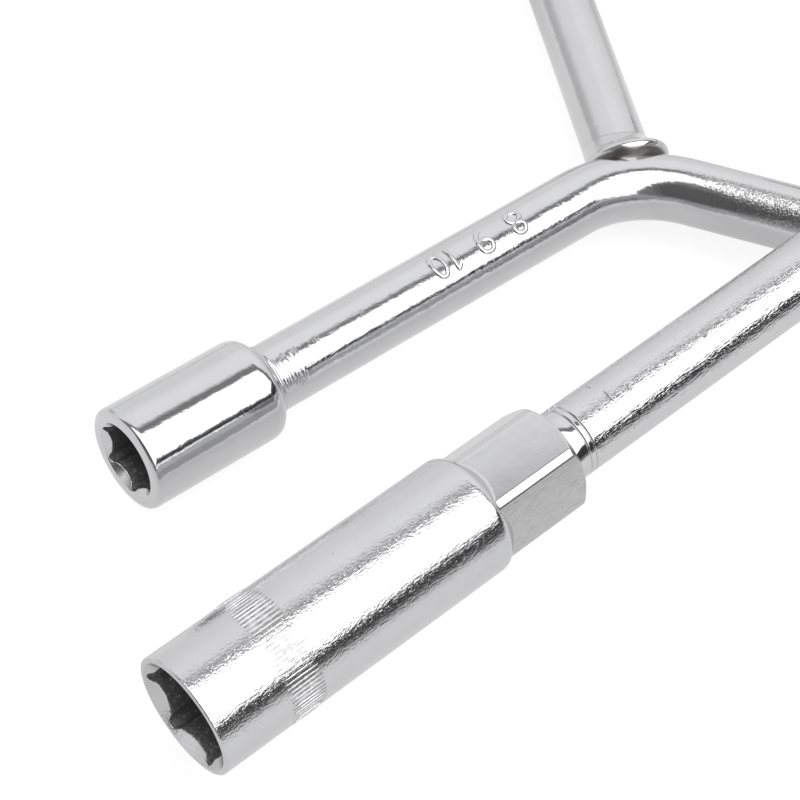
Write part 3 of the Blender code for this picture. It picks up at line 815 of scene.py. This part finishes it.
def build_chuck_marks():
    """Burrs that a chuck left on the 10 mm arm beside its socket, above and below its bright side."""
    plate = Plate("chuck_mark_plate", Y_FRAME)
    plate.add_skin("rod")
    marks = chuck_mark_nodes(plate.finish())
    lie = Y_FRAME @ Matrix.Rotation(math.pi, 4, "Z")
    for row in (("chuck_marks_upper", 16, 71.0, 0.34, 12, 0.13, -20, -8, 3),
                ("chuck_marks_lower", 12, 71.2, 0.43, 11, 0.13, -56, -43, 8),
                ("chuck_marks_nick", 3, 66.9, 0.5, 12, 0.11, -17, -10, 5),
                ("chuck_marks_far_nick", 2, 58.1, 0.45, 12, 0.1, -15, -10, 7),
                ("chuck_marks_low_side", 4, 71.6, 0.4, 14, 0.1, -68, -60, 6)):
        add_marks(marks, row, ROD_RADIUS, lie, "y_wrench")


def add_marks(marks, row, rod, lie, body):
    """A row of burrs, as its name, count, start and pitch in mm, sweep in degrees, half width in mm,
    first and last angle in degrees, and seed."""
    name, count, start, pitch, sweep, width, first, last, seed = row
    values = {"Marks": count, "Start": (start * MM, 0.0, 0.0), "Pitch": (pitch * MM, 0.0, 0.0),
              "Rod radius": rod + MARK_LIFT, "Sweep": math.radians(sweep), "Half width": width * MM,
              "First angle": math.radians(first), "Last angle": math.radians(last), "Seed": seed}
    add_piece(marks.run(name, bpy.data.meshes.new("marks"), lie, values), body, None)


def bead(name, lie, material, front, heavy_side, rod):
    """Weld bead round a rod that stands on another: a hollow flank, a rim, and a front that slopes in."""
    rim = front + WELD_FOOT + WELD_RIM
    profile = []
    for step in range(WELD_FLANK_STEPS + 1):
        down = step / WELD_FLANK_STEPS
        fullness = down * (1 - (1 - 2 * FLANK_WAIST_SHARE) * 2 * (1 - down))
        profile.append((rim + WELD_FLANK * (1 - down), fullness))
    for step in range(1, WELD_RIM_STEPS + 1):
        turn = WELD_FRONT_SLOPE * step / WELD_RIM_STEPS
        drop = WELD_RIM_RADIUS * (1 - math.cos(turn))
        profile.append((rim - WELD_RIM_RADIUS * math.sin(turn), 1 - drop / WELD_STAND))
    edge, left = profile[-1]
    for step in range(1, WELD_FRONT_STEPS + 1):
        run = WELD_FRONT * step / WELD_FRONT_STEPS
        drop = run * math.sin(WELD_FRONT_SLOPE)
        profile.append((edge - run * math.cos(WELD_FRONT_SLOPE), left - drop / WELD_STAND))
    above, inside = (profile[0][0] + WELD_TUCK, WELD_TUCK_ABOVE), (profile[-1][0], WELD_TUCK_FRONT)
    rings = []
    for x, fullness in [above, *profile, inside]:
        ring = []
        for i in range(WELD_SIDES):
            around = 2 * math.pi * i / WELD_SIDES
            lean = math.cos(around)
            spot = Vector((x / MM * 0.4, 2 * math.cos(around), 2 * math.sin(around)))
            lump = 1 + WELD_LUMPS * noise.noise(spot) + WELD_RIPPLES * noise.noise(spot * 3.1)
            radius = rod + WELD_EDGE_STAND + (WELD_STAND + heavy_side * lean) * fullness * lump
            shift = WELD_WANDER * noise.noise(spot * 0.9 + Vector((9, 0, 0)))
            up = x + WELD_SADDLE * lean ** 2 + shift
            ring.append(lie @ Vector((up, radius * math.cos(around), radius * math.sin(around))))
        rings.append(ring)
    return skin(name, rings, material)


def weld_plate(name, lie, front):
    """Plate of a bead, with painted shade on its front under the rim."""
    plate = Plate(name, lie)
    plate.add_skin("weld")
    lean = plate.y / plate.radial
    over_rim = plate.x - lean * lean * (WELD_SADDLE / MM) - (front + WELD_FOOT + WELD_RIM) / MM
    # Painted shade on the front under the rim.
    plate.add_dirt_and_shade(over_rim.step(*SHADED_FRONT) * SHADED_FRONT_LEVEL)
    return plate.finish(roughness=WELD_ROUGHNESS)


def build_junction_weld():
    lie = Y_FRAME @ Matrix.Rotation(math.radians(60), 4, "Z") @ Matrix.Rotation(math.pi, 4, "X")
    material = weld_plate("junction_weld_plate", lie, -BEND_CUT_IN)
    weld = bead("junction_weld_bead", lie, material, -BEND_CUT_IN, WELD_HEAVY_SIDE, ROD_RADIUS)
    add_piece(weld, "y_wrench", "junction_weld")


# Plug wrench

def plug_outline():
    mouth = mouth_radius(PLUG_FLATS)

    def outline(turn):
        wall = broached_reach(turn, PLUG_FLATS, 0.0)
        off_middle = (turn - SHANK_ROLL) % math.radians(60) - HALF_CORNER
        polished = SHANK_POLISH * (math.tan(off_middle) / math.tan(HALF_CORNER)) ** 2
        shank = min(hex_reach(turn, SHANK_FLATS, SHANK_ROLL) - polished, SHANK_CORNER_RADIUS)
        end = SHANK_CORNER_RADIUS - SHANK_END_CHAMFER
        return [
            (PLUG_BODY_LENGTH - SHANK_HOLLOW_DEPTH, PLUG_ROD_RADIUS - PLUG_OVERLAP, 0),
            (PLUG_BODY_LENGTH - SHANK_HOLLOW_DEPTH, PLUG_ROD_RADIUS + SHANK_HOLLOW_FLOOR, 0),
            (PLUG_BODY_LENGTH, PLUG_ROD_RADIUS + SHANK_HOLLOW_LIP, SHANK_HOLLOW_ROUND),
            (PLUG_BODY_LENGTH, end, SHANK_EDGE_ROUND),
            (PLUG_BODY_LENGTH - (shank - end), shank, SHANK_EDGE_ROUND),
            (PLUG_ROUND_LENGTH + (PLUG_RADIUS - shank) / PLUG_SHOULDER_SLOPE, shank, SHANK_FOOT_ROUND),
            (PLUG_ROUND_LENGTH, PLUG_RADIUS, PLUG_SHOULDER_ROUND),
            (0.0, PLUG_RADIUS, PLUG_NOSE_ROUND),
            (0.0, mouth, PLUG_MOUTH_ROUND),
            (mouth - wall, wall, PLUG_LEAD_IN_ROUND),
            (PLUG_HEX_DEPTH, wall, BROACH_EDGE_ROUND),
            (PLUG_HEX_DEPTH, PLUG_BORE_RADIUS, BROACH_EDGE_ROUND),
            (PLUG_BORE_DEPTH, PLUG_BORE_RADIUS, BROACH_EDGE_ROUND),
            (PLUG_BORE_DEPTH + PLUG_BORE_POINT, POLE_RADIUS, 0)]
    return outline


def build_plug_socket():
    plate = Plate("plug_socket_plate", PLUG_FRAME)
    plate.add_skin("plug", calm_zone=plate.x.step(PLUG_ROUND_LENGTH / MM - 0.5, PLUG_ROUND_LENGTH / MM + 1.5))
    plate.add_pits("plug")
    start, end = KNURL_START / MM, (KNURL_START + KNURL_LENGTH) / MM
    band = plate.x.step(start, start + 0.3) * plate.x.step(end, end - 0.3)
    around = add_node(plate.tree, "ShaderNodeMath", {"operation": "ARCTAN2"}, {0: plate.y, 1: -1.0 * plate.z})
    wave = add_node(plate.tree, "ShaderNodeMath", {"operation": "COSINE"}, {0: around * KNURL_LINES})
    # Painted shade between the knurled lines, in patches.
    plate.add_dirt_and_shade(wave.step(-0.2, -0.9) * band * grain(plate.tree, plate.own, 0.9).step(-0.4, 0.15) * 0.75)
    # Painted shade on the shank flat that faces the camera, with fine scratches in it.
    shaded_flat = plate.x.step(*SHADED_FLAT_ALONG) * (plate.y * -1.0).step(*SHADED_FLAT_SIDE)
    scratches = grain(plate.tree, stretched(plate.tree, plate.own, (0.12, 1.0, 1.0)), 5.0, 2.0, 0.6)
    plate.add_dirt_and_shade((0.17 + 0.16 * scratches.step(-0.2, 0.5)) * shaded_flat)
    inside = bore_mask(plate, mouth_radius(PLUG_FLATS), PLUG_BARE_DEPTH)
    material = plate.finish(inside, roughness=PLUG_ROUGHNESS)
    body = turned("plug_socket_skin", plug_outline(), PLUG_SIDES, PLUG_FRAME, material)
    add_piece(body, "plug_wrench", "plug_socket")
    lines = knurl_nodes(material)
    sizes = {"Lines": KNURL_LINES, "Band radius": PLUG_RADIUS, "Line length": KNURL_LENGTH,
             "Line width": KNURL_WIDTH, "Line height": KNURL_HEIGHT, "Seed": KNURL_SEED}
    along = Matrix.Rotation(math.radians(90), 4, "Y")
    middle = Matrix.Translation((KNURL_START + KNURL_LENGTH / 2, 0.0, 0.0)) @ along
    knurl = lines.run("knurl_lines", bpy.data.meshes.new("knurl_start"), PLUG_FRAME @ middle, sizes)
    add_piece(knurl, "plug_wrench", None)


def build_plug_bar():
    first = PLUG_BODY_LENGTH + WIDE_BAND
    second = first + GROOVE_WIDTH + NARROW_BAND
    outline = [(PLUG_BODY_LENGTH - BAR_INTO_SHANK, PLUG_ROD_RADIUS - BAR_NECK, 0),
               (PLUG_BODY_LENGTH, PLUG_ROD_RADIUS - BAR_NECK, 0),
               (PLUG_BODY_LENGTH + WIDE_BAND / 2, PLUG_ROD_RADIUS + BAND_SWELL, BAND_ROUND)]
    for groove in (first, second):
        middle = groove + GROOVE_WIDTH / 2
        outline += [(groove, PLUG_ROD_RADIUS, GROOVE_EDGE_ROUND),
                    (middle, PLUG_ROD_RADIUS - GROOVE_DEPTH, GROOVE_FLOOR_ROUND),
                    (groove + GROOVE_WIDTH, PLUG_ROD_RADIUS, GROOVE_EDGE_ROUND)]
    outline += [(x * MM, PLUG_ROD_RADIUS, 0) for x in BAR_RINGS]
    plate = Plate("plug_bar_plate", PLUG_FRAME)
    plate.add_skin("bar", calm_zone=plate.x.step(*POLISHED_BAR_ALONG))
    plate.add_pits("rod")
    # Painted shade in the grooves, darker on the neck at the shank.
    shaded_sunk = plate.radial.step(PLUG_ROD_RADIUS / MM - 0.04, PLUG_ROD_RADIUS / MM - 0.2)
    plate.add_dirt_and_shade(shaded_sunk * (0.45 + 0.45 * plate.x.step(*SHADED_NECK_ALONG)))
    material = plate.finish(roughness=BAR_ROUGHNESS)
    bar = turned("plug_bar_skin", lambda turn: outline, BAR_SIDES, PLUG_FRAME, material)
    add_piece(bar, "plug_wrench", "plug_bar")
    marks = chuck_mark_nodes(material)
    for row in (("bar_nick_high", 1, 77.05, 0.3, 17, 0.14, -21, -20, 2),
                ("bar_nick_low", 1, 77.7, 0.3, 26, 0.2, 20, 21, 6)):
        add_marks(marks, row, PLUG_ROD_RADIUS, PLUG_FRAME, "plug_wrench")


def build_handle():
    lie = PLUG_FRAME @ Matrix.Translation((PLUG_LENGTH, 0.0, 0.0)) @ Matrix.Rotation(math.radians(90), 4, "Z")
    half = HANDLE_LENGTH / 2
    outline = [(-half, POLE_RADIUS, 0), (-half, HANDLE_RADIUS, HANDLE_END_ROUND),
               (half, HANDLE_RADIUS, HANDLE_END_ROUND), (half, POLE_RADIUS, 0)]
    plate = Plate("handle_plate", lie)
    plate.add_skin("rod")
    handle = turned("cross_handle_skin", lambda turn: outline, BAR_SIDES, lie, plate.finish())
    add_piece(handle, "plug_wrench", "cross_handle")
    weld_lie = PLUG_FRAME @ Matrix.Translation((PLUG_LENGTH, 0.0, 0.0)) @ Matrix.Rotation(math.pi, 4, "Z")
    material = weld_plate("handle_weld_plate", weld_lie, 0.0)
    weld = bead("handle_weld_bead", weld_lie, material, 0.0, 0.0, PLUG_ROD_RADIUS)
    add_piece(weld, "plug_wrench", "handle_weld")


def add_piece(piece, body, node):
    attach(piece, body)
    if node:
        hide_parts(node)


# Studio

CAMERA_PLACE = Vector((-0.21140, -0.18738, 0.27379))
CAMERA_RIGHT = Vector((0.76297803, -0.64565117, 0.03160849))
CAMERA_UP = Vector((0.45941711, 0.57600257, 0.67613383))
CAMERA_LENS = 108.0
SENSOR = 36.0
NEAR_CLIP = 0.01

# The room that the chrome mirrors: ways across three borders of its soft box, and the light in it
BOX_FAR_WAY = (-0.55, -0.82, 0.15)
BOX_LOW_WAY = (-0.365, 0.252, 0.896)
BOX_NEAR_WAY = (0.952, -0.03, 0.28)
BOX_LIGHT = 2.6
ROOM_LIGHT = 0.98
FRAME_DARK = 0.74                # share of the light that the frame round the box takes away,
FRAME_LOW_DARK = 0.2             # and that it takes away besides on its lower side

# Spots of that room: azimuth and elevation in degrees, and the cosines at its rim and where it is full
BRIGHT_SPOT = (28, 42, 0.85, 0.97)
BRIGHT_SPOT_LIGHT = 0.08
DIM_SPOT = (100, 2, 0.9, 1.0)
DIM_SPOT_DARK = 0.32
SMALL_DIM_SPOT = (18, -8, 0.95, 1.0)
SMALL_DIM_SPOT_DARK = 0.25
CAMERA_SPOT = (-150, 34, 0.78, 0.93)
CAMERA_SPOT_DARK = 0.86

# Floor
FLOOR_SIZE = 3.0
WHITE = (1.0, 1.0, 1.0, 1.0)
FLOOR_SHOWN = (0.3, 0.3, 0.3, 1.0)
FLOOR_SHOWN_GLOW = 0.8
FLOOR_MIRRORED = (0.14, 0.14, 0.14, 1.0)
FLOOR_MIRRORED_GLOW = 0.80
FLOOR_PLAIN = (0.8, 0.8, 0.8, 1.0)

# Lamp
LAMP_SIZE = (0.9, 0.7)
LAMP_POWER = 5.0
LAMP_AZIMUTH = -48
LAMP_ELEVATION = 47
LAMP_DISTANCE = 1.2


def aim(azimuth, elevation):
    """Unit vector towards an azimuth from +X and an elevation, in degrees."""
    a, e = math.radians(azimuth), math.radians(elevation)
    return Vector((math.cos(e) * math.cos(a), math.cos(e) * math.sin(a), math.sin(e)))


def build_camera():
    data = bpy.data.cameras.new("camera")
    data.lens = CAMERA_LENS
    data.sensor_width = SENSOR
    data.clip_start = NEAR_CLIP
    camera = bpy.data.objects.new("camera", data)
    bpy.context.scene.collection.objects.link(camera)
    back = CAMERA_RIGHT.cross(CAMERA_UP)
    turn = Matrix((CAMERA_RIGHT, CAMERA_UP, back)).transposed().to_4x4()
    camera.matrix_world = Matrix.Translation(CAMERA_PLACE) @ turn
    bpy.context.scene.camera = camera


def build_world():
    """Plain white to the camera. Mirror rays see a white room with one large soft box in a dark frame,
    and with a dark side where the camera stands."""
    world = bpy.data.worlds.new("studio")
    world.use_nodes = True
    bpy.context.scene.world = world
    tree = world.node_tree
    tree.nodes.clear()
    way = add_node(tree, "ShaderNodeTexCoord", {}, {}, "Generated")

    def side(normal):
        return dot(tree, way, normal)

    def spot(azimuth, elevation, rim, full):
        return side(aim(azimuth, elevation)).step(rim, full)

    far = side(BOX_FAR_WAY)
    low = side(BOX_LOW_WAY)
    near = side(BOX_NEAR_WAY)
    up = side((0.0, 0.0, 1.0))
    box = far.step(0.0, 0.06) * low.step(-0.01, 0.015) * near.step(-0.02, 0.02)
    frame_round = far.step(-0.24, -0.14) * low.step(-0.6, -0.45) * near.step(-0.75, -0.55)
    room = ROOM_LIGHT + 0.1 * up.step(0.3, 0.75) + BRIGHT_SPOT_LIGHT * spot(*BRIGHT_SPOT)
    room = room * (1 - DIM_SPOT_DARK * spot(*DIM_SPOT)) * (1 - SMALL_DIM_SPOT_DARK * spot(*SMALL_DIM_SPOT))
    framed = 1 - (FRAME_DARK + FRAME_LOW_DARK * low.step(0.0, -0.08)) * frame_round
    camera_side = 1 - CAMERA_SPOT_DARK * spot(*CAMERA_SPOT)
    lit = room * framed.least(camera_side) + BOX_LIGHT * box
    mirrored = add_node(tree, "ShaderNodeLightPath", {}, {}, "Is Glossy Ray")
    shown = lit * mirrored + (1 - mirrored)
    sky = add_node(tree, "ShaderNodeBackground", {}, {"Color": WHITE, "Strength": shown})
    out = tree.nodes.new("ShaderNodeOutputWorld")
    tree.links.new(sky.socket, out.inputs["Surface"])


def build_floor():
    """Pale floor. In a mirror its glow is painted darker on the camera's side, near the third arm and between
    the tools, as painted shade; other rays see it plain.
    """
    mesh = bmesh.new()
    bmesh.ops.create_grid(mesh, x_segments=1, y_segments=1, size=FLOOR_SIZE)
    material = bpy.data.materials.new("pale_floor")
    material.use_nodes = True
    tree = material.node_tree
    tree.nodes.clear()
    seen = add_node(tree, "ShaderNodeLightPath", {}, {}, "Is Camera Ray")
    mirrored = add_node(tree, "ShaderNodeLightPath", {}, {}, "Is Glossy Ray")
    through = add_node(tree, "ShaderNodeLightPath", {}, {}, "Is Transmission Ray")
    here = add_node(tree, "ShaderNodeTexCoord", {}, {}, "Object")
    x, y = [add_node(tree, "ShaderNodeSeparateXYZ", {}, {"Vector": here}, i) for i in range(2)]
    # Painted shade in the mirrored glow: on the camera's side, near the third arm and between the tools.
    glow_with_painted_shade = FLOOR_MIRRORED_GLOW - 0.74 * y.step(-0.1, -0.18)
    glow_with_painted_shade = glow_with_painted_shade - 0.22 * x.step(0.01, 0.05) * y.step(0.03, 0.07) - 0.16 * y.hump(-0.02, 0.04)
    dim = add_node(tree, "ShaderNodeBsdfDiffuse", {}, {"Color": FLOOR_MIRRORED})
    matte = add_node(tree, "ShaderNodeBsdfDiffuse", {}, {"Color": FLOOR_SHOWN})
    glow = add_node(tree, "ShaderNodeEmission", {}, {"Color": WHITE, "Strength": FLOOR_SHOWN_GLOW})
    shown = add_node(tree, "ShaderNodeAddShader", {}, {0: matte, 1: glow})
    plain = add_node(tree, "ShaderNodeBsdfDiffuse", {}, {"Color": FLOOR_PLAIN})
    pale = add_node(tree, "ShaderNodeEmission", {}, {"Color": WHITE, "Strength": glow_with_painted_shade})
    reflected = add_node(tree, "ShaderNodeAddShader", {}, {0: dim, 1: pale})
    lit = add_node(tree, "ShaderNodeMixShader", {}, {0: (seen + through).least(1.0), 1: plain, 2: shown})
    mixed = add_node(tree, "ShaderNodeMixShader", {}, {0: mirrored, 1: lit, 2: reflected})
    out = tree.nodes.new("ShaderNodeOutputMaterial")
    tree.links.new(mixed.socket, out.inputs["Surface"])
    as_object("floor", mesh, material)


def build_lamp():
    """Soft box that lights the floor and gives the shadow. Mirror rays see the world's soft box instead."""
    data = bpy.data.lights.new("soft_box", "AREA")
    data.shape = "RECTANGLE"
    data.size, data.size_y = LAMP_SIZE
    data.energy = LAMP_POWER
    lamp = bpy.data.objects.new("soft_box", data)
    bpy.context.scene.collection.objects.link(lamp)
    way = aim(LAMP_AZIMUTH, LAMP_ELEVATION)
    turn = way.to_track_quat("Z", "Y").to_matrix().to_4x4()
    lamp.matrix_world = Matrix.Translation(way * LAMP_DISTANCE) @ turn
    lamp.visible_glossy = False


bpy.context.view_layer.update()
build_camera()
build_sockets()
build_braze_rings()
build_rods()
build_numbers()
build_chuck_marks()
build_junction_weld()
build_plug_socket()
build_plug_bar()
build_handle()
build_world()
build_floor()
build_lamp()
bpy.context.scene.view_settings.view_transform = "Standard"
